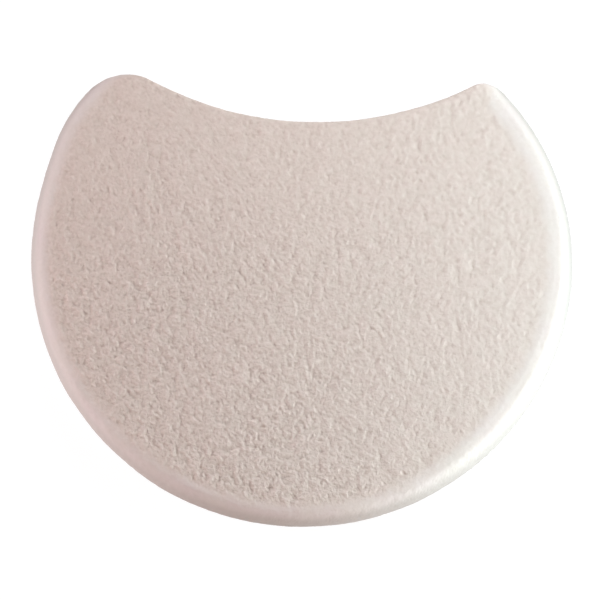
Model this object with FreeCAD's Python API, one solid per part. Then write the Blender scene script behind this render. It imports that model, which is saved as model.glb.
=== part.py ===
import FreeCAD, Part
import math
import os

# Flat make-up sponge: a round pad with a wide concave bite at its far edge,
# which leaves two blunt horns.  It is a laminate: two plies of soft foam,
# bonded to each other at mid height, with a thin textured facing bonded to
# each outer side.  The edges are ground round, through every layer; the bite
# is cut later and its edge is only eased, so the ground edge runs out along
# the horns.
# Millimetres, +Z up, the bite towards +Y, origin at the bottom centre of the
# whole pad.

# ---- driving dimensions -------------------------------------------------
pad_radius = 31.0            # main outline circle
shoulder_radius = 29.2       # right-hand shoulder below the right horn
shoulder_start_deg = -15.0   # where that shoulder leaves the main circle
left_flat_radius = 56.5      # nearly straight stretch of the left side
left_flat_end_deg = 169.6    # where the main circle takes over from it
left_corner_radius = 19.6    # rounder stretch between it and the left horn
left_corner_end_deg = 163.0  # direction of the edge where the two stretches meet
bite_radius = 39.4           # concave bite
bite_centre_x = 0.21         # from the centre of the main circle
bite_centre_y = 54.92
horn_radius_left = 6.1       # blunt ends of the two horns
horn_radius_right = 3.25

pad_height = 6.0             # total thickness, free
edge_radius = 2.6            # ground edge, top and bottom
bite_edge_radius = 0.8       # eased edge along the bite
facing_thickness = 0.4       # textured facing on each side
facing_bond = 0.1            # adhesive coat under each facing
core_bond = 0.1              # adhesive film between the two foam plies


# ---- outline of seven tangent arcs --------------------------------------
def meet(c1, d1, c2, d2, side):
    """The point at distance d1 from c1 and d2 from c2, on the given side in x."""
    bx, by = c2[0] - c1[0], c2[1] - c1[1]
    gap = math.hypot(bx, by)
    along = (d1 * d1 - d2 * d2 + gap * gap) / (2.0 * gap)
    off = math.sqrt(d1 * d1 - along * along)
    ux, uy = bx / gap, by / gap
    p = (c1[0] + ux * along - uy * off, c1[1] + uy * along + ux * off)
    q = (c1[0] + ux * along + uy * off, c1[1] + uy * along - ux * off)
    return p if p[0] * side > q[0] * side else q


def towards(c, p, r):
    """The point at distance r from c in the direction of p."""
    length = math.hypot(p[0] - c[0], p[1] - c[1])
    return (c[0] + (p[0] - c[0]) * r / length, c[1] + (p[1] - c[1]) * r / length)


def turn(c, p):
    return math.atan2(p[1] - c[1], p[0] - c[0])


def at(r, angle, c=(0.0, 0.0)):
    return (c[0] + r * math.cos(angle), c[1] + r * math.sin(angle))


main_c = (0.0, 0.0)
bite_c = (bite_centre_x, bite_centre_y)
start = math.radians(shoulder_start_deg)
flat_end = math.radians(left_flat_end_deg)
corner_end = math.radians(left_corner_end_deg)
shoulder_c = at(pad_radius - shoulder_radius, start)
flat_c = at(pad_radius - left_flat_radius, flat_end)
corner_c = at(left_flat_radius - left_corner_radius, corner_end, flat_c)
right_c = meet(shoulder_c, shoulder_radius - horn_radius_right,
               bite_c, bite_radius + horn_radius_right, +1)
left_c = meet(corner_c, left_corner_radius - horn_radius_left,
              bite_c, bite_radius + horn_radius_left, -1)

p_start = at(pad_radius, start)
p_right_out = towards(shoulder_c, right_c, shoulder_radius)
p_right_in = towards(bite_c, right_c, bite_radius)
p_left_in = towards(bite_c, left_c, bite_radius)
p_left_out = towards(corner_c, left_c, left_corner_radius)
p_corner_end = at(left_flat_radius, corner_end, flat_c)
p_flat_end = at(pad_radius, flat_end)

# (centre, radius, from, to, counter-clockwise, edge radius at both ends)
ground, eased = edge_radius, bite_edge_radius
arcs = [
    (shoulder_c, shoulder_radius, p_start, p_right_out, True, ground, ground),
    (right_c, horn_radius_right, p_right_out, p_right_in, True, ground, eased),
    (bite_c, bite_radius, p_right_in, p_left_in, False, eased, eased),
    (left_c, horn_radius_left, p_left_in, p_left_out, True, eased, ground),
    (corner_c, left_corner_radius, p_left_out, p_corner_end, True, ground, ground),
    (flat_c, left_flat_radius, p_corner_end, p_flat_end, True, ground, ground),
    (main_c, pad_radius, p_flat_end, p_start, True, ground, ground),
]

# the box of the outline puts the origin at the middle of the pad
x_low = -pad_radius
x_high = shoulder_c[0] + shoulder_radius
y_low = -pad_radius
y_high = max(right_c[1] + horn_radius_right, left_c[1] + horn_radius_left)
mid_x = 0.5 * (x_low + x_high)
mid_y = 0.5 * (y_low + y_high)


def vec(p):
    return FreeCAD.Vector(p[0] - mid_x, p[1] - mid_y, 0.0)


edges = []
for centre, radius, a, b, ccw, edge_a, edge_b in arcs:
    t0, t1 = turn(centre, a), turn(centre, b)
    if ccw:
        while t1 <= t0:
            t1 += 2.0 * math.pi
    else:
        while t1 >= t0:
            t1 -= 2.0 * math.pi
    tm = 0.5 * (t0 + t1)
    m = (centre[0] + radius * math.cos(tm), centre[1] + radius * math.sin(tm))
    edges.append(Part.Arc(vec(a), vec(m), vec(b)).toShape())

outline = Part.Wire(edges)
slab = Part.Face(outline).extrude(FreeCAD.Vector(0, 0, pad_height))

# ---- ground edges, top and bottom ----------------------------------------
# every edge of the two flat sides belongs to one arc; the rounding runs evenly
# from the arc's first edge radius to its last
doc = FreeCAD.newDocument("pad")
blank = doc.addObject("Part::Feature", "blank")
blank.Shape = slab
rim = []
for number, edge in enumerate(slab.Edges, 1):
    if edge.BoundBox.ZMax - edge.BoundBox.ZMin > 1e-6:
        continue
    first = edge.valueAt(edge.FirstParameter)
    middle = edge.valueAt(0.5 * (edge.FirstParameter + edge.LastParameter))
    for centre, radius, a, b, ccw, edge_a, edge_b in arcs:
        flat = FreeCAD.Vector(middle.x, middle.y, 0.0)
        near_a = (FreeCAD.Vector(first.x, first.y, 0.0) - vec(a)).Length < 1e-4
        near_b = (FreeCAD.Vector(first.x, first.y, 0.0) - vec(b)).Length < 1e-4
        if abs((flat - vec(centre)).Length - radius) < 1e-4 and (near_a or near_b):
            rim.append((number, edge_a, edge_b) if near_a else (number, edge_b, edge_a))
            break
assert len(rim) == 2 * len(arcs), rim
rounded = doc.addObject("Part::Fillet", "rounded")
rounded.Base = blank
rounded.Edges = rim
doc.recompute()
pad = rounded.Shape
assert pad.isValid() and len(pad.Solids) == 1

# ---- the layers, from the bottom up --------------------------------------
half = 0.5 * pad_height
levels = [
    ("bottom_face", 0.0, facing_thickness),
    ("bottom_bond", facing_thickness, facing_thickness + facing_bond),
    ("lower_foam", facing_thickness + facing_bond, half - 0.5 * core_bond),
    ("core_bond", half - 0.5 * core_bond, half + 0.5 * core_bond),
    ("upper_foam", half + 0.5 * core_bond,
     pad_height - facing_thickness - facing_bond),
    ("top_bond", pad_height - facing_thickness - facing_bond,
     pad_height - facing_thickness),
    ("top_face", pad_height - facing_thickness, pad_height),
]

os.makedirs("parts", exist_ok=True)
total = 0.0
for name, z0, z1 in levels:
    cutter = Part.makeBox(4 * pad_radius, 4 * pad_radius, z1 - z0,
                          FreeCAD.Vector(-2 * pad_radius, -2 * pad_radius, z0))
    layer = pad.common(cutter)
    solids = layer.Solids
    assert len(solids) == 1 and solids[0].isValid(), name
    piece = solids[0]
    total += piece.Volume
    points = piece.tessellate(0.02)[0]
    print("%-12s z %.2f to %.2f  volume %9.2f  x %.2f..%.2f  y %.2f..%.2f" % (
        name, z0, z1, piece.Volume,
        min(p.x for p in points), max(p.x for p in points),
        min(p.y for p in points), max(p.y for p in points)))
    piece.exportStep("parts/%s.step" % name)

print("pad volume %.2f, layers %.2f" % (pad.Volume, total))
print("bite bottom y %.3f, horn tips y %.3f / %.3f" % (
    bite_c[1] - bite_radius - mid_y,
    left_c[1] + horn_radius_left - mid_y,
    right_c[1] + horn_radius_right - mid_y))
print("main circle centre %.4f %.4f" % (-mid_x, -mid_y))
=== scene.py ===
import math

import bpy
import numpy as np
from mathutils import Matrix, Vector


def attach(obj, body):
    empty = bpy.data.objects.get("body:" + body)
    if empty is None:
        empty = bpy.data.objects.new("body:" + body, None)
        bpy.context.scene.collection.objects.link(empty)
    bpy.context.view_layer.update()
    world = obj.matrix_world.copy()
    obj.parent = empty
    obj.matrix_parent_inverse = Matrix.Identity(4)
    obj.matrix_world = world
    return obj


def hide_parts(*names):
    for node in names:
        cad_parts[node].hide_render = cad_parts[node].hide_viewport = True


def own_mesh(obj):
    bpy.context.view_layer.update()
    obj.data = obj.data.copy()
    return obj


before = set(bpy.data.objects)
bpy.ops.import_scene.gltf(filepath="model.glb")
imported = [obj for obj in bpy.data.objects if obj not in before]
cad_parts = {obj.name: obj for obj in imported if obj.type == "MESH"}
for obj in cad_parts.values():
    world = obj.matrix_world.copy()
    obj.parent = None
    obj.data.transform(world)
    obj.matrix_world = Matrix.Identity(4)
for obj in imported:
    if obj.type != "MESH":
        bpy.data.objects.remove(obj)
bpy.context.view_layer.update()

# Flat make-up sponge: two foam plies, a bond film between them, and a textured
# facing bonded to each side.  Lengths here are millimetres until a mesh is made.
MM = 0.001

# ---- the pad's outline and section, as in the construction ----------------
PAD_R, SHOULDER_R, SHOULDER_DEG = 31.0, 29.2, -15.0
FLAT_R, FLAT_DEG, CORNER_R, CORNER_DEG = 56.5, 169.6, 19.6, 163.0
BITE_R, BITE_X, BITE_Y = 39.4, 0.21, 54.92
HORN_L, HORN_R = 6.1, 3.25
HEIGHT, EDGE_R, BITE_EDGE_R = 6.0, 2.6, 0.8
SKIN = 0.10                     # the ground surface lies this far inside the nominal one
TURN_R = EDGE_R - SKIN
FACING, FACING_BOND, CORE_BOND = 0.4, 0.1, 0.1
TRAVEL = 2.3


def meet(c1, d1, c2, d2, side):
    b = np.subtract(c2, c1)
    gap = np.hypot(*b)
    along = (d1 * d1 - d2 * d2 + gap * gap) / (2 * gap)
    off = math.sqrt(d1 * d1 - along * along)
    u = b / gap
    v = np.array([-u[1], u[0]])
    p, q = c1 + u * along + v * off, c1 + u * along - v * off
    return p if p[0] * side > q[0] * side else q


def make_outline():
    main = np.zeros(2)
    bite = np.array([BITE_X, BITE_Y])
    ray, flat_ray, corner_ray = [np.array([math.cos(math.radians(d)), math.sin(math.radians(d))])
                                 for d in (SHOULDER_DEG, FLAT_DEG, CORNER_DEG)]
    shoulder = (PAD_R - SHOULDER_R) * ray
    flat = (PAD_R - FLAT_R) * flat_ray
    corner = flat + (FLAT_R - CORNER_R) * corner_ray
    right = meet(shoulder, SHOULDER_R - HORN_R, bite, BITE_R + HORN_R, +1)
    left = meet(corner, CORNER_R - HORN_L, bite, BITE_R + HORN_L, -1)

    def on(c, p, r):
        d = p - c
        return c + d / np.hypot(*d) * r

    start, flat_end, corner_end = PAD_R * ray, PAD_R * flat_ray, flat + FLAT_R * corner_ray
    r_out, r_in = on(shoulder, right, SHOULDER_R), on(bite, right, BITE_R)
    l_in, l_out = on(bite, left, BITE_R), on(corner, left, CORNER_R)
    low = np.array([-PAD_R, -PAD_R])
    high = np.array([shoulder[0] + SHOULDER_R,
                     max(right[1] + HORN_R, left[1] + HORN_L)])
    mid = 0.5 * (low + high)
    arcs = []
    for c, r, a, b, turn in (
        (shoulder, SHOULDER_R, start, r_out, 1),
        (right, HORN_R, r_out, r_in, 1),
        (bite, BITE_R, r_in, l_in, -1),
        (left, HORN_L, l_in, l_out, 1),
        (corner, CORNER_R, l_out, corner_end, 1),
        (flat, FLAT_R, corner_end, flat_end, 1),
        (main, PAD_R, flat_end, start, 1),
    ):
        t0 = math.atan2(a[1] - c[1], a[0] - c[0])
        t1 = math.atan2(b[1] - c[1], b[0] - c[0])
        while turn * (t1 - t0) <= 0:
            t1 += turn * 2 * math.pi
        arcs.append((c - mid, r, t0, t1, turn))
    return arcs


ARCS = make_outline()
ARC_ENDS = np.cumsum([r * abs(t1 - t0) for c, r, t0, t1, turn in ARCS])
GIRTH = float(ARC_ENDS[-1])


def outline(s):
    """Points and outward normals of the widest outline at arc lengths s."""
    s = np.mod(np.asarray(s, float), GIRTH)
    which = np.minimum(np.searchsorted(ARC_ENDS, s, side="right"), len(ARCS) - 1)
    p, n = np.zeros((len(s), 2)), np.zeros((len(s), 2))
    for i, (c, r, t0, t1, turn) in enumerate(ARCS):
        m = which == i
        begin = ARC_ENDS[i] - r * abs(t1 - t0)
        a = t0 + turn * (s[m] - begin) / r
        d = np.stack([np.cos(a), np.sin(a)], 1)
        p[m] = c + r * d
        n[m] = turn * d
    return p, n


def smooth(lo, hi, x):
    t = np.clip((x - lo) / (hi - lo), 0, 1)
    return t * t * (3 - 2 * t)


def easing(s):
    """0 where the edge is ground round, 1 along the bite, where it is only eased."""
    s = np.mod(np.asarray(s, float), GIRTH)
    return smooth(ARC_ENDS[0], ARC_ENDS[1], s) - smooth(ARC_ENDS[2], ARC_ENDS[3], s)


def late(x):
    """How much further the texture runs over the edge on the left side, in millimetres."""
    return 0.2 * smooth(-6.0, -22.0, np.asarray(x, float))


def edge_at(s):
    return EDGE_R + (BITE_EDGE_R - EDGE_R) * easing(s)


def section(z, edge=EDGE_R):
    """(inset from the widest outline, tilt of the normal) at height z of an edge of that radius."""
    z, edge = np.broadcast_arrays(np.asarray(z, float), np.asarray(edge, float))
    rise = np.where(z > HEIGHT - edge, z - (HEIGHT - edge),
                    np.where(z < edge, z - edge, 0.0))
    tilt = np.arcsin(np.clip(rise / (edge - SKIN), -1, 1))
    return SKIN + (edge - SKIN) * (1 - np.cos(tilt)), tilt


# ---- seeded noise fields ---------------------------------------------------
class Field:
    """Noise on a periodic sheet of cells, all made from seeded spectra."""

    def __init__(self, x0, y0, width, height, pitch):
        self.nx, self.ny = int(round(width / pitch)), int(round(height / pitch))
        self.x0, self.y0 = x0, y0
        self.px, self.py = width / self.nx, height / self.ny
        fx = np.fft.rfftfreq(self.nx, self.px)
        fy = np.fft.fftfreq(self.ny, self.py)
        self.fx, self.fy = fx[None, :], fy[:, None]
        self.freq = np.maximum(np.hypot(self.fx, self.fy), 1e-6)

    def band(self, seed, wavelength, width=0.35):
        rng = np.random.default_rng(seed)
        spec = np.fft.rfft2(rng.standard_normal((self.ny, self.nx)))
        spec *= np.exp(-0.5 * (np.log(self.freq * wavelength) / width) ** 2)
        f = np.fft.irfft2(spec, s=(self.ny, self.nx))
        return f / f.std()

    def soften(self, f, sigma):
        g = np.exp(-2 * (math.pi * sigma * self.freq) ** 2)
        return np.fft.irfft2(np.fft.rfft2(f) * g, s=(self.ny, self.nx))

    def brush(self, f, along_x, along_y):
        g = np.exp(-2 * math.pi ** 2 * ((along_x * self.fx) ** 2 + (along_y * self.fy) ** 2))
        return np.fft.irfft2(np.fft.rfft2(f) * g, s=(self.ny, self.nx))

    def pits(self, seed, spacing, radius, spread, depth):
        """Scattered shallow holes, the deeper of two where they meet."""
        rng = np.random.default_rng(seed)
        rows = int(self.ny * self.py / (spacing * 0.866))
        cols = int(self.nx * self.px / spacing)
        out = np.zeros((self.ny, self.nx))
        reach = int(3 * radius * 1.6 / min(self.px, self.py)) + 1
        gy, gx = np.mgrid[-reach:reach + 1, -reach:reach + 1]
        for j in range(rows):
            for i in range(cols):
                jit = rng.normal(0, 0.30 * spacing, 2)
                x = (i + 0.5 * (j % 2)) * spacing + jit[0]
                y = j * spacing * 0.866 + jit[1]
                r = radius * math.exp(rng.normal(0, spread))
                d = depth * (0.35 + 0.95 * rng.random())
                e = 1 + 0.5 * rng.random()
                t = rng.random() * math.pi
                cx, cy = int(round(x / self.px)), int(round(y / self.py))
                dx = gx * self.px - (x - cx * self.px)
                dy = gy * self.py - (y - cy * self.py)
                a = (dx * math.cos(t) + dy * math.sin(t)) / (r * e)
                b = (-dx * math.sin(t) + dy * math.cos(t)) / r
                hole = d * np.exp(-(a * a + b * b))
                iy = np.mod(cy + np.arange(-reach, reach + 1), self.ny)
                ix = np.mod(cx + np.arange(-reach, reach + 1), self.nx)
                sub = out[np.ix_(iy, ix)]
                out[np.ix_(iy, ix)] = np.maximum(sub, hole)
        return out

    def suede(self, seed):
        """(depth, hollowness): the same lumps as a height with as much slope at
        every scale, and as how far each point lies below its surroundings."""
        rng = np.random.default_rng(seed)
        spec = np.fft.rfft2(rng.standard_normal((self.ny, self.nx)))
        # the lumps are a little longer one way, the way the sheet was brushed
        a = math.radians(20)
        f = np.maximum(np.hypot(self.fx * math.cos(a) + self.fy * math.sin(a),
                                1.25 * (self.fy * math.cos(a) - self.fx * math.sin(a))), 1e-6)
        round_off = np.exp(-2 * (math.pi * 0.040 * f) ** 2 - (f / 2.6) ** 6)
        fine = np.exp(-2 * (math.pi * 0.085 * f) ** 2)
        depth = np.fft.irfft2(spec * round_off / (f + 0.12), s=(self.ny, self.nx))
        hollow = np.fft.irfft2(spec * fine * f / (f + 0.12), s=(self.ny, self.nx))
        hollow /= hollow.std()
        hollow = np.expm1(0.30 * hollow) / 0.30
        return depth / depth.std(), hollow / hollow.std()

    def at(self, f, x, y):
        u = np.mod((np.asarray(x) - self.x0) / self.px, self.nx)
        v = np.mod((np.asarray(y) - self.y0) / self.py, self.ny)
        i, j = np.floor(u).astype(int), np.floor(v).astype(int)
        a, b = u - i, v - j
        i, j = i % self.nx, j % self.ny
        i1, j1 = (i + 1) % self.nx, (j + 1) % self.ny
        return ((f[j, i] * (1 - a) + f[j, i1] * a) * (1 - b)
                + (f[j1, i] * (1 - a) + f[j1, i1] * a) * b)


FACE = Field(-33.6, -28.0, 67.2, 56.0, 0.05)
WALL = Field(0.0, 0.0, GIRTH, 12.0, 0.06)      # along the outline, down the wall


QUARTER = TURN_R * math.pi / 2
RUN = 2 * QUARTER + HEIGHT - 2 * EDGE_R        # up the whole section, flat to flat
WALL_FINE = WALL.band(501, 0.40, 0.35)
WALL_SOFT = WALL.band(502, 1.6, 0.5)
WALL_SAG = WALL.band(503, 9.0, 0.4)


def wall_drop(s, run):
    """How far the ground wall dips below its mean section; one field for all
    layers, so that neighbours meet flush."""
    h = (0.006 * WALL.at(WALL_FINE, s, run) + 0.008 * WALL.at(WALL_SOFT, s, run)
         + 0.014 * WALL.at(WALL_SAG, s, run))
    return np.clip(h, -0.08, 0.08)


def run_at(z, tilt):
    return np.where(z <= EDGE_R, QUARTER + TURN_R * tilt,
                    np.where(z < HEIGHT - EDGE_R, QUARTER + z - EDGE_R,
                             RUN - QUARTER + TURN_R * tilt))


# ---- meshes ----------------------------------------------------------------
def to_object(name, verts, tris, sharp_pairs=(), attrs=None):
    mesh = bpy.data.meshes.new(name)
    verts = np.ascontiguousarray(verts * MM, dtype=np.float32)
    tris = np.ascontiguousarray(tris, dtype=np.int32)
    mesh.vertices.add(len(verts))
    mesh.vertices.foreach_set("co", verts.ravel())
    mesh.loops.add(tris.size)
    mesh.loops.foreach_set("vertex_index", tris.ravel())
    mesh.polygons.add(len(tris))
    mesh.polygons.foreach_set("loop_start", np.arange(0, tris.size, 3, dtype=np.int32))
    mesh.update(calc_edges=True)
    mesh.validate()
    mesh.polygons.foreach_set("use_smooth", np.ones(len(mesh.polygons), dtype=bool))
    if len(sharp_pairs):
        keys = set(map(tuple, np.sort(np.asarray(sharp_pairs), axis=1).tolist()))
        ev = np.zeros(len(mesh.edges) * 2, dtype=np.int32)
        mesh.edges.foreach_get("vertices", ev)
        ev = np.sort(ev.reshape(-1, 2), axis=1)
        flag = np.fromiter(((a, b) in keys for a, b in ev.tolist()), dtype=bool,
                           count=len(ev))
        layer = mesh.attributes.new("sharp_edge", "BOOLEAN", "EDGE")
        layer.data.foreach_set("value", flag)
    for key, values in (attrs or {}).items():
        layer = mesh.attributes.new(key, "FLOAT", "POINT")
        layer.data.foreach_set("value", np.ascontiguousarray(values, dtype=np.float32))
    mesh.update()
    obj = bpy.data.objects.new(name, mesh)
    bpy.context.scene.collection.objects.link(obj)
    return obj


def ring_pairs(first, count):
    i = np.arange(count)
    return np.stack([first + i, first + (i + 1) % count], 1)


CENTRE = np.array([0.0, -1.0])       # the outline is seen whole from here
SECTORS, FLAT_RINGS, EDGE_RINGS = 6, 167, 10


def facing(name, up, seed):
    """One textured facing: flat middle, shoulder turned down with the ground edge."""
    bond_z = HEIGHT - FACING
    whole_arc = TURN_R * (math.pi / 2 - float(section(bond_z)[1]))
    rings = FLAT_RINGS + EDGE_RINGS
    xy, lift, nrm, arc = [CENTRE[None, :]], [np.array([HEIGHT - SKIN])], [np.array([[0, 0, 1.0]])], [np.array([-99.0])]
    along, reach = [np.zeros(1)], [np.ones(1)]
    for k in range(1, rings + 1):
        n = SECTORS * k
        along.append(GIRTH * np.arange(n) / n)
        p, o = outline(along[-1])
        edge = edge_at(along[-1])
        bend = edge - SKIN
        tilt_b = section(bond_z, edge)[1]
        # how far the shoulder runs from the flat to the bond
        reach.append(bend * (math.pi / 2 - tilt_b))
        if k <= FLAT_RINGS:
            rim = p - edge[:, None] * o
            q = CENTRE + (rim - CENTRE) * (k / FLAT_RINGS)
            xy.append(q)
            lift.append(np.full(n, HEIGHT - SKIN))
            nrm.append(np.tile([0, 0, 1.0], (n, 1)))
            # distance in from where the shoulder starts to turn
            arc.append(-np.abs(((rim - q) * o).sum(1)))
        else:
            tilt = math.pi / 2 + (tilt_b - math.pi / 2) * (k - FLAT_RINGS) / EDGE_RINGS
            xy.append(p - (SKIN + bend * (1 - np.cos(tilt)))[:, None] * o)
            lift.append(HEIGHT - edge + bend * np.sin(tilt))
            nrm.append(np.column_stack([o * np.cos(tilt)[:, None], np.sin(tilt)]))
            arc.append(bend * (math.pi / 2 - tilt))
    xy, lift, nrm, arc = np.concatenate(xy), np.concatenate(lift), np.concatenate(nrm), np.concatenate(arc)
    x, y = xy[:, 0], xy[:, 1]
    along, reach = np.concatenate(along), np.concatenate(reach)
    # the texture runs on over the eased edge of the bite
    over = arc - 0.70 * easing(along) * smooth(-6.0, 0.0, arc)
    # and on the right the pale foam colour reaches further in, painted light on the side the lamps light most, and the
    # texture fades out further in
    over += 1.0 * smooth(6.0, 24.0, x) * (1 - easing(along)) * smooth(-4.5, -0.5, arc) * (1 - smooth(0.0, 1.0, arc / reach))

    # sueded open-cell texture: lumps at every scale from half a millimetre to a
    # few millimetres, its hollows painted darker than its ridges as painted shade
    lumps, hollow = FACE.suede(seed + 1)
    waves = FACE.band(seed + 4, 13.0, 0.40)
    holes = FACE.pits(seed + 5, 1.5, 0.13, 0.30, 1.0)
    # the nap stands up towards the near left and lies flatter towards the far right
    right, left = np.maximum(x, 0), np.maximum(-x, 0)
    far, near = np.maximum(y, 0), np.maximum(-y, 0)
    nap = np.clip(1.03 + 0.006 * left - 0.0133 * right - 0.0142 * y + 0.0006 * right * far
                  - 0.0005 * left * near - 0.0010 * right * near
                  + 0.14 * np.exp(-((x + 14) / 7) ** 2 - ((y + 1) / 9) ** 2), 0.5, 1.35)
    # and there it is brushed softer
    soft = smooth(-0.1, 1.0, 0.022 * (x + y))
    depth = nap * ((1 - soft) * FACE.at(0.0425 * lumps + 0.030 * holes, x, y)
                   + soft * 1.42 * FACE.at(FACE.brush(0.0425 * lumps + 0.030 * holes, 0.07, 0.10), x, y))
    # painted shade: the colour is darkened in the hollows, where shade falls
    hollow_shade = nap * ((1 - soft) * FACE.at(hollow + 0.9 * holes, x, y)
                  + soft * 1.42 * FACE.at(FACE.brush(hollow + 0.9 * holes, 0.07, 0.10), x, y))
    nap = nap * (1 - 0.65 * soft)
    sway = FACE.at(waves, x, y)
    frayed = FACE.at(FACE.band(seed + 7, 0.9, 0.5), x, y)
    fade = 1 - 0.82 * smooth(-0.5, 1.4, over - late(x) + 0.10 * frayed)
    # the flat sags a little on its way to the ground edge
    sag = 0.055 * (1 - easing(along)) * np.clip(1 + arc / 3.0, 0, 1) ** 2
    drop = np.clip(0.02 + sag + depth * fade + 0.012 * np.clip(sway, -1.6, 1.6), -SKIN, 0.24)
    # over the shoulder the texture gives way to the ground wall that the other layers share
    turned = whole_arc * arc / reach
    wall = wall_drop(along, RUN - turned if up else turned)
    drop += (wall - drop) * smooth(0.40, 1.0, arc / reach)
    verts = np.concatenate([xy, lift[:, None]], 1) - nrm * drop[:, None]
    # the last ring lies in the bond's plane, on the same lowered wall
    last = SECTORS * rings
    lean = np.hypot(nrm[-last:, 0], nrm[-last:, 1])
    verts[-last:, :2] = xy[-last:] - nrm[-last:, :2] * (drop[-last:] / lean ** 2)[:, None]
    verts[-last:, 2] = bond_z
    # the hollows' painted shade, faded out towards the ground edge
    hollow_shade_and_tone = np.clip(0.5 + 0.13 * hollow_shade * fade, 0, 1)

    tris = []
    starts = np.concatenate([[0, 1], 1 + np.cumsum(SECTORS * np.arange(1, rings + 1))])
    for k in range(rings):
        a0, b0 = starts[k], starts[k + 1]
        for m in range(SECTORS):
            i = np.arange(k + 1)
            nb = SECTORS * (k + 1)
            b = b0 + (m * (k + 1) + i) % nb
            b2 = b0 + (m * (k + 1) + i + 1) % nb
            if k == 0:
                a = np.zeros(1, int)
            else:
                a = a0 + (m * k + i) % (SECTORS * k)
            tris.append(np.stack([a, b, b2], 1))
            if k:
                j = np.arange(k)
                aj = a0 + (m * k + j) % (SECTORS * k)
                aj2 = a0 + (m * k + j + 1) % (SECTORS * k)
                bj2 = b0 + (m * (k + 1) + j + 1) % nb
                tris.append(np.stack([aj, bj2, aj2], 1))
    tris = np.concatenate(tris)
    rim0 = starts[rings]
    hub = len(verts)
    verts = np.concatenate([verts, [[CENTRE[0], CENTRE[1], bond_z]]])
    hollow_shade_and_tone, over, nap = np.append(hollow_shade_and_tone, 0.5), np.append(over, -9.0), np.append(nap, 1.0)
    i = np.arange(last)
    tris = np.concatenate([tris, np.stack([np.full(last, hub), rim0 + (i + 1) % last, rim0 + i], 1)])
    if not up:
        verts[:, 2] = HEIGHT - verts[:, 2]
        tris = tris[:, ::-1]
    return to_object(name, verts, tris, ring_pairs(rim0, last),
                     {"hollow_shade_and_tone": hollow_shade_and_tone, "over": np.clip(over, -9, 9), "nap": nap})


AROUND = 2 * SECTORS * (FLAT_RINGS + EDGE_RINGS)     # every other point is one of the facing's


def band_of(name, z0, z1, pitch):
    """One layer's ground wall between two heights, closed by flat caps."""
    # heights spaced evenly along the section
    zz = np.linspace(z0, z1, 400)
    inset, tilt = section(zz)
    run = np.concatenate([[0], np.cumsum(np.hypot(np.diff(zz), np.diff(inset)))])
    rows = max(2, int(round(run[-1] / pitch))) + 1
    at = np.linspace(0, run[-1], rows)
    zs = np.interp(at, run, zz)
    s = GIRTH * np.arange(AROUND) / AROUND
    p, o = outline(s)
    edge = edge_at(s)
    ups = run_at(zs, section(zs)[1])
    verts, masks = [], []
    for r in range(rows):
        h = -wall_drop(s, np.full(AROUND, ups[r]))
        inset, tilt = section(zs[r], edge)
        c, up = np.cos(tilt), np.sin(tilt)
        # the first and last rings lie in the layer's planes, on the same lowered wall
        flat = r in (0, rows - 1)
        xy = p + o * ((h / c if flat else h * c) - inset)[:, None]
        z = np.full(AROUND, zs[r]) + (0 if flat else 1) * h * up
        verts.append(np.column_stack([xy, z]))
        # how far round the ground edge from the nearer flat face
        upright = np.maximum(np.minimum(HEIGHT - edge - zs[r], zs[r] - edge), 0)
        masks.append((edge - SKIN) * (math.pi / 2 - np.abs(tilt)) + upright - 0.70 * easing(s))
    verts, mask = np.concatenate(verts), np.concatenate(masks)
    i = np.arange(AROUND)
    i1 = (i + 1) % AROUND
    tris = []
    for r in range(rows - 1):
        a, b = r * AROUND, (r + 1) * AROUND
        tris.append(np.stack([a + i, a + i1, b + i1], 1))
        tris.append(np.stack([a + i, b + i1, b + i], 1))
    low_hub, high_hub = len(verts), len(verts) + 1
    verts = np.concatenate([verts, [[*CENTRE, z0], [*CENTRE, z1]]])
    mask = np.append(mask, [0.0, 0.0])
    top = (rows - 1) * AROUND
    tris.append(np.stack([np.full(AROUND, low_hub), i1, i], 1))
    tris.append(np.stack([np.full(AROUND, high_hub), top + i, top + i1], 1))
    pairs = np.concatenate([ring_pairs(0, AROUND), ring_pairs(top, AROUND)])
    return to_object(name, verts, np.concatenate(tris), pairs, {"over": mask})


# ---- materials -------------------------------------------------------------
def lin(r, g, b):
    """sRGB 0..255 to linear RGBA."""
    out = []
    for v in (r, g, b):
        v = v / 255.0
        out.append(v / 12.92 if v <= 0.04045 else ((v + 0.055) / 1.055) ** 2.4)
    return (*out, 1.0)


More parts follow.
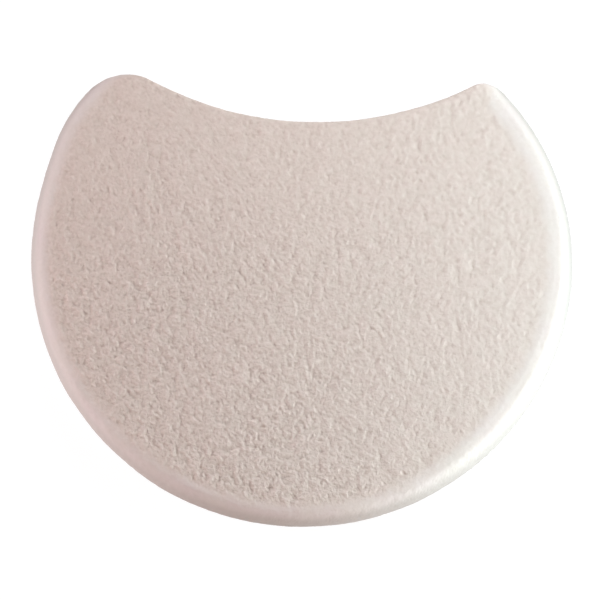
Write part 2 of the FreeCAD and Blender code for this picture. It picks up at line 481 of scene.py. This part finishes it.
class Nodes:
    def __init__(self, name):
        self.mat = bpy.data.materials.new(name)
        self.mat.use_nodes = True
        self.tree = self.mat.node_tree
        self.tree.nodes.clear()
        self.out = self.tree.nodes.new("ShaderNodeOutputMaterial")
        self.shader = self.tree.nodes.new("ShaderNodeBsdfPrincipled")
        self.tree.links.new(self.shader.outputs[0], self.out.inputs["Surface"])
        self.coords = self.tree.nodes.new("ShaderNodeTexCoord").outputs["Object"]

    def link(self, a, b):
        self.tree.links.new(a, b)

    def set(self, **values):
        for key, v in values.items():
            self.shader.inputs[key.replace("_", " ")].default_value = v

    def noise(self, scale, detail=2.0, rough=0.5, warp=0.0):
        n = self.tree.nodes.new("ShaderNodeTexNoise")
        n.inputs["Scale"].default_value = scale
        n.inputs["Detail"].default_value = detail
        n.inputs["Roughness"].default_value = rough
        n.inputs["Distortion"].default_value = warp
        self.link(self.coords, n.inputs["Vector"])
        return n.outputs["Fac"]

    def cells(self, scale):
        n = self.tree.nodes.new("ShaderNodeTexVoronoi")
        n.inputs["Scale"].default_value = scale
        n.feature = "SMOOTH_F1"
        n.inputs["Smoothness"].default_value = 0.45
        self.link(self.coords, n.inputs["Vector"])
        return n.outputs["Distance"]

    def attr(self, name):
        n = self.tree.nodes.new("ShaderNodeAttribute")
        n.attribute_name = name
        return n.outputs["Fac"]

    def across(self):
        n = self.tree.nodes.new("ShaderNodeSeparateXYZ")
        self.link(self.coords, n.inputs[0])
        return n.outputs["X"]

    def ramp(self, fac, *stops):
        n = self.tree.nodes.new("ShaderNodeValToRGB")
        e = n.color_ramp.elements
        while len(e) < len(stops):
            e.new(0.5)
        for el, (pos, col) in zip(e, stops):
            el.position = pos
            el.color = col
        self.link(fac, n.inputs["Fac"])
        return n.outputs["Color"]

    def span(self, fac, a, b, c, d, kind="LINEAR"):
        n = self.tree.nodes.new("ShaderNodeMapRange")
        n.interpolation_type = kind
        for key, v in zip(("From Min", "From Max", "To Min", "To Max"), (a, b, c, d)):
            n.inputs[key].default_value = v
        self.link(fac, n.inputs["Value"])
        return n.outputs["Result"]

    def math(self, op, a, b):
        n = self.tree.nodes.new("ShaderNodeMath")
        n.operation = op
        for socket, v in zip(n.inputs, (a, b)):
            if isinstance(v, (int, float)):
                socket.default_value = v
            else:
                self.link(v, socket)
        return n.outputs[0]

    def mix(self, fac, a, b, kind="MIX"):
        n = self.tree.nodes.new("ShaderNodeMix")
        n.data_type = "RGBA"
        n.blend_type = kind
        ins = [s for s in n.inputs if s.enabled]
        for socket, v in zip(ins, (fac, a, b)):
            if isinstance(v, (int, float)):
                socket.default_value = v
            elif isinstance(v, tuple):
                socket.default_value = v
            else:
                self.link(v, socket)
        return [s for s in n.outputs if s.enabled][0]

    def bump(self, height, distance, strength, normal=None):
        n = self.tree.nodes.new("ShaderNodeBump")
        n.inputs["Distance"].default_value = distance
        if isinstance(strength, (int, float)):
            n.inputs["Strength"].default_value = strength
        else:
            self.link(strength, n.inputs["Strength"])
        self.link(height, n.inputs["Height"])
        if normal is not None:
            self.link(normal, n.inputs["Normal"])
        return n.outputs["Normal"]


FACE_LIGHT = lin(218.5, 211, 205)
FACE_DARK = lin(181.5, 169.5, 160)
FACE_PINK = lin(206, 195, 187)
FACE_GREY = lin(202, 197, 187)
# painted shade tint for the left side, painted light tint for the right side
SHADED_SIDE_PINK, MID_SIDE_TINT, LIT_SIDE_GREY = (1, 0.88, 0.86, 1), (0.97, 0.94, 0.93, 1), (0.915, 0.97, 0.985, 1)
# painted light: the side the key lamps light, whiter and cooler
LIT_SIDE_WHITE = (0.98, 1.04, 1.04, 1)
FOAM_LIGHT = lin(209, 200.5, 197)
FOAM_DARK = lin(202, 193.5, 188.5)
# painted shade for the middle of the wall
FOAM_MIDWALL_SHADE = lin(185, 179, 174)


def foam_colour(m):
    fine = m.noise(2400, 2, 0.5)
    slow = m.noise(240, 2, 0.5)
    base = m.ramp(fine, (0.30, FOAM_DARK), (0.66, FOAM_LIGHT))
    tint = m.ramp(slow, (0.35, lin(206, 195.5, 193.5)), (0.65, lin(206, 199.5, 192.5)))
    base = m.mix(0.5, base, tint)
    # the middle of the wall is painted a little greyer: painted shade
    base = m.mix(m.span(m.attr("over"), 1.5, 2.9, 0.0, 1.0, "SMOOTHSTEP"), base, FOAM_MIDWALL_SHADE)
    # and the lit side is painted whiter and cooler: painted light
    return m.mix(m.span(m.across(), 0.002, 0.018, 0.0, 1.0, "SMOOTHSTEP"), base, LIT_SIDE_WHITE, "MULTIPLY")


def facing_grain(m):
    return m.noise(3300, 1.5, 0.5)


def facing_colour(m, hollow_shade_and_tone):
    grain = facing_grain(m)
    patch = m.noise(620, 2, 0.5)
    drift = m.noise(70, 2, 0.5)
    # the hollows' painted shade, with random grain flecks on top
    fleck = m.math("MULTIPLY", m.span(grain, 0.3, 0.7, 0.15, -0.15), m.attr("nap"))
    shade = m.math("ADD", hollow_shade_and_tone, fleck)
    base = m.ramp(shade, (0.0, FACE_LIGHT), (1.0, FACE_DARK))
    hue = m.ramp(patch, (0.36, FACE_PINK), (0.64, FACE_GREY))
    base = m.mix(0.25, base, hue)
    base = m.mix(m.span(drift, 0.35, 0.65, 0.0, 0.12), base, FACE_PINK)
    # the shaded side is painted a little pinker (painted shade), the lit side greyer (painted light)
    return m.mix(0.5, base, m.ramp(m.span(m.across(), -0.028, 0.028, 0.0, 1.0),
                                   (0.0, SHADED_SIDE_PINK), (0.5, MID_SIDE_TINT), (1.0, LIT_SIDE_GREY)), "MULTIPLY")


def skin(m, hollow_shade_and_tone):
    """Facing colour that thins out to bare foam where the edge was ground."""
    ragged = m.span(m.noise(1150, 3, 0.6), 0.3, 0.7, -0.24, 0.24)
    over = m.math("ADD", m.attr("over"), ragged)
    fade = m.span(over, -0.10, 1.60, 0.0, 1.0, "SMOOTHSTEP")
    return m.mix(fade, facing_colour(m, hollow_shade_and_tone), foam_colour(m))


def facing_material():
    m = Nodes("facing_sueded_foam")
    m.link(skin(m, m.attr("hollow_shade_and_tone")), m.shader.inputs["Base Color"])
    m.link(m.span(m.noise(1500, 3, 0.6), 0.3, 0.7, 0.86, 1.0), m.shader.inputs["Roughness"])
    m.set(Specular_IOR_Level=0.18, Sheen_Weight=0.05, Sheen_Roughness=0.6)
    # the finest cells, worn away towards the ground edge
    worn = m.span(m.attr("over"), -0.5, 1.4, 0.75, 0.12, "SMOOTHSTEP")
    worn = m.math("MULTIPLY", worn, m.attr("nap"))
    m.link(m.bump(facing_grain(m), 0.00021, worn), m.shader.inputs["Normal"])
    return m.mat


def foam_material():
    m = Nodes("core_foam")
    m.link(skin(m, m.span(m.noise(2000, 2, 0.5), 0.3, 0.7, 0.3, 0.7)), m.shader.inputs["Base Color"])
    m.link(m.span(m.noise(1200, 3, 0.6), 0.3, 0.7, 0.84, 0.97), m.shader.inputs["Roughness"])
    m.set(Specular_IOR_Level=0.18, Sheen_Weight=0.05, Sheen_Roughness=0.6)
    m.link(m.bump(m.cells(5200), 0.00003, 0.20), m.shader.inputs["Normal"])
    return m.mat


def glue_material():
    m = Nodes("bond_adhesive")
    m.link(skin(m, m.span(m.noise(1600, 3, 0.6), 0.3, 0.7, 0.35, 0.75)), m.shader.inputs["Base Color"])
    m.link(m.span(m.noise(900, 2, 0.5), 0.3, 0.7, 0.7, 0.9), m.shader.inputs["Roughness"])
    m.set(Specular_IOR_Level=0.20, Sheen_Weight=0.04, Sheen_Roughness=0.6)
    m.link(m.bump(m.noise(3000, 2, 0.5), 0.00003, 0.15), m.shader.inputs["Normal"])
    return m.mat


# ---- the layers ------------------------------------------------------------
half = 0.5 * HEIGHT
low_core, high_core = FACING + FACING_BOND, HEIGHT - FACING - FACING_BOND

pieces = {
    "top_face": facing("sponge_top_face", True, 100),
    "bottom_face": facing("sponge_bottom_face", False, 300),
    "upper_foam": band_of("sponge_upper_foam", half + 0.5 * CORE_BOND, high_core, 0.12),
    "lower_foam": band_of("sponge_lower_foam", low_core, half - 0.5 * CORE_BOND, 0.12),
    "top_bond": band_of("sponge_top_bond", high_core, HEIGHT - FACING, 0.06),
    "bottom_bond": band_of("sponge_bottom_bond", FACING, low_core, 0.06),
    "core_bond": band_of("sponge_core_bond", half - 0.5 * CORE_BOND, half + 0.5 * CORE_BOND, 0.05),
}
finish = {"facing": facing_material(), "foam": foam_material(), "adhesive": glue_material()}
slots = {"top_face": "facing", "bottom_face": "facing", "upper_foam": "foam", "lower_foam": "foam",
         "top_bond": "adhesive", "bottom_bond": "adhesive", "core_bond": "adhesive"}
rides = {"top_face": "top", "top_bond": "top", "upper_foam": "top",
         "core_bond": "base", "lower_foam": "base", "bottom_bond": "base", "bottom_face": "base"}

for node, obj in pieces.items():
    obj.data.materials.append(finish[slots[node]])
    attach(obj, rides[node])
    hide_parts(node)

# the share of the core that the foam keeps at the full press, evenly through both plies; here each ply only gets a
# mesh of its own
keep = (high_core - low_core - TRAVEL) / (high_core - low_core)
# (the lower ply and the film a hair more, so that the two plies don't cross when pressed)
for node, anchor, part in (("upper_foam", high_core, keep), ("lower_foam", low_core, keep - 0.002),
                           ("core_bond", low_core, keep - 0.002)):
    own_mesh(pieces[node])

# ---- floor, light and camera -----------------------------------------------
floor_mesh = bpy.data.meshes.new("floor")
side = 3.0
floor_mesh.from_pydata([(-side, -side, 0), (side, -side, 0), (side, side, 0), (-side, side, 0)], [], [(0, 1, 2, 3)])
floor = bpy.data.objects.new("floor", floor_mesh)
floor.location.z = -0.00002
bpy.context.scene.collection.objects.link(floor)
fm = Nodes("floor_white")
fm.link(fm.ramp(fm.noise(3, 2, 0.5), (0.3, lin(94, 94, 94)), (0.7, lin(97, 97, 97))),
        fm.shader.inputs["Base Color"])
fm.set(Roughness=0.9, Specular_IOR_Level=0.1, Emission_Strength=0.94)
fm.shader.inputs["Emission Color"].default_value = (1, 1, 1, 1)
floor_mesh.materials.append(fm.mat)
# a white cut-out ground: it shows, but throws no light up onto the pad
floor.visible_diffuse = False


def softbox(name, azimuth, elevation, distance, size, share, colour, aim=(0, 0, 0.003)):
    """An area light; share is what it adds to a white level surface at the middle of the pad."""
    a, e = math.radians(azimuth), math.radians(elevation)
    d = Vector((math.cos(e) * math.cos(a), math.cos(e) * math.sin(a), math.sin(e)))
    data = bpy.data.lights.new(name, "AREA")
    data.shape = "RECTANGLE"
    data.size, data.size_y = size
    data.energy = share * math.pi ** 2 * distance ** 2 / math.sin(e)
    data.color = colour
    obj = bpy.data.objects.new(name, data)
    obj.location = Vector(aim) + d * distance
    obj.rotation_euler = (-d).to_track_quat("-Z", "Y").to_euler()
    bpy.context.scene.collection.objects.link(obj)


softbox("key_right", 25, 34, 0.160, (0.09, 0.07), 0.479, (0.93, 1.0, 1.0))
softbox("key_back", 46, 40, 0.160, (0.07, 0.05), 0.192, (0.90, 0.94, 1.0))
softbox("low_right", -31, 8, 0.085, (0.04, 0.03), 0.093, (0.92, 0.96, 1.0))
softbox("low_front", -44, 11, 0.085, (0.04, 0.03), 0.027, (0.91, 1.0, 0.93))
softbox("back_soft", 90, 30, 0.220, (0.12, 0.08), 0.205, (1.0, 0.80, 0.80))
softbox("fill_near", -90, 15, 0.250, (0.12, 0.08), 0.079, (1.0, 0.80, 0.73))
softbox("fill_near_left", -120, 20, 0.250, (0.12, 0.08), 0.076, (1.0, 0.80, 0.80))
softbox("fill_left", 180, 9, 0.200, (0.08, 0.05), 0.122, (1.0, 0.94, 0.97))
softbox("low_left", 205, 12, 0.090, (0.05, 0.03), 0.019, (1.0, 0.80, 0.80))

world = bpy.data.worlds.new("studio")
bpy.context.scene.world = world
world.use_nodes = True
back = world.node_tree.nodes["Background"]
back.inputs["Color"].default_value = (1.0, 0.90, 0.88, 1)
back.inputs["Strength"].default_value = 0.01

scene = bpy.context.scene
scene.view_settings.view_transform = "Standard"
scene.view_settings.look = "None"
scene.view_settings.exposure = 0.0
scene.view_settings.gamma = 1.0

cam_data = bpy.data.cameras.new("camera")
cam_data.sensor_width = 36.0
cam_data.lens = 36.0 * 3946.0 / 600.0
cam_data.clip_start, cam_data.clip_end = 0.01, 20.0
cam = bpy.data.objects.new("camera", cam_data)
e, a = math.radians(79.0), math.radians(1.6)
back_dir = Vector((math.sin(a) * math.cos(e), -math.cos(a) * math.cos(e), math.sin(e)))
aim = Vector((-0.00008, 0.00025, 0.003))
cam.location = aim + back_dir * 0.450
cam.rotation_euler = (-back_dir).to_track_quat("-Z", "Y").to_euler()
scene.collection.objects.link(cam)
scene.camera = cam
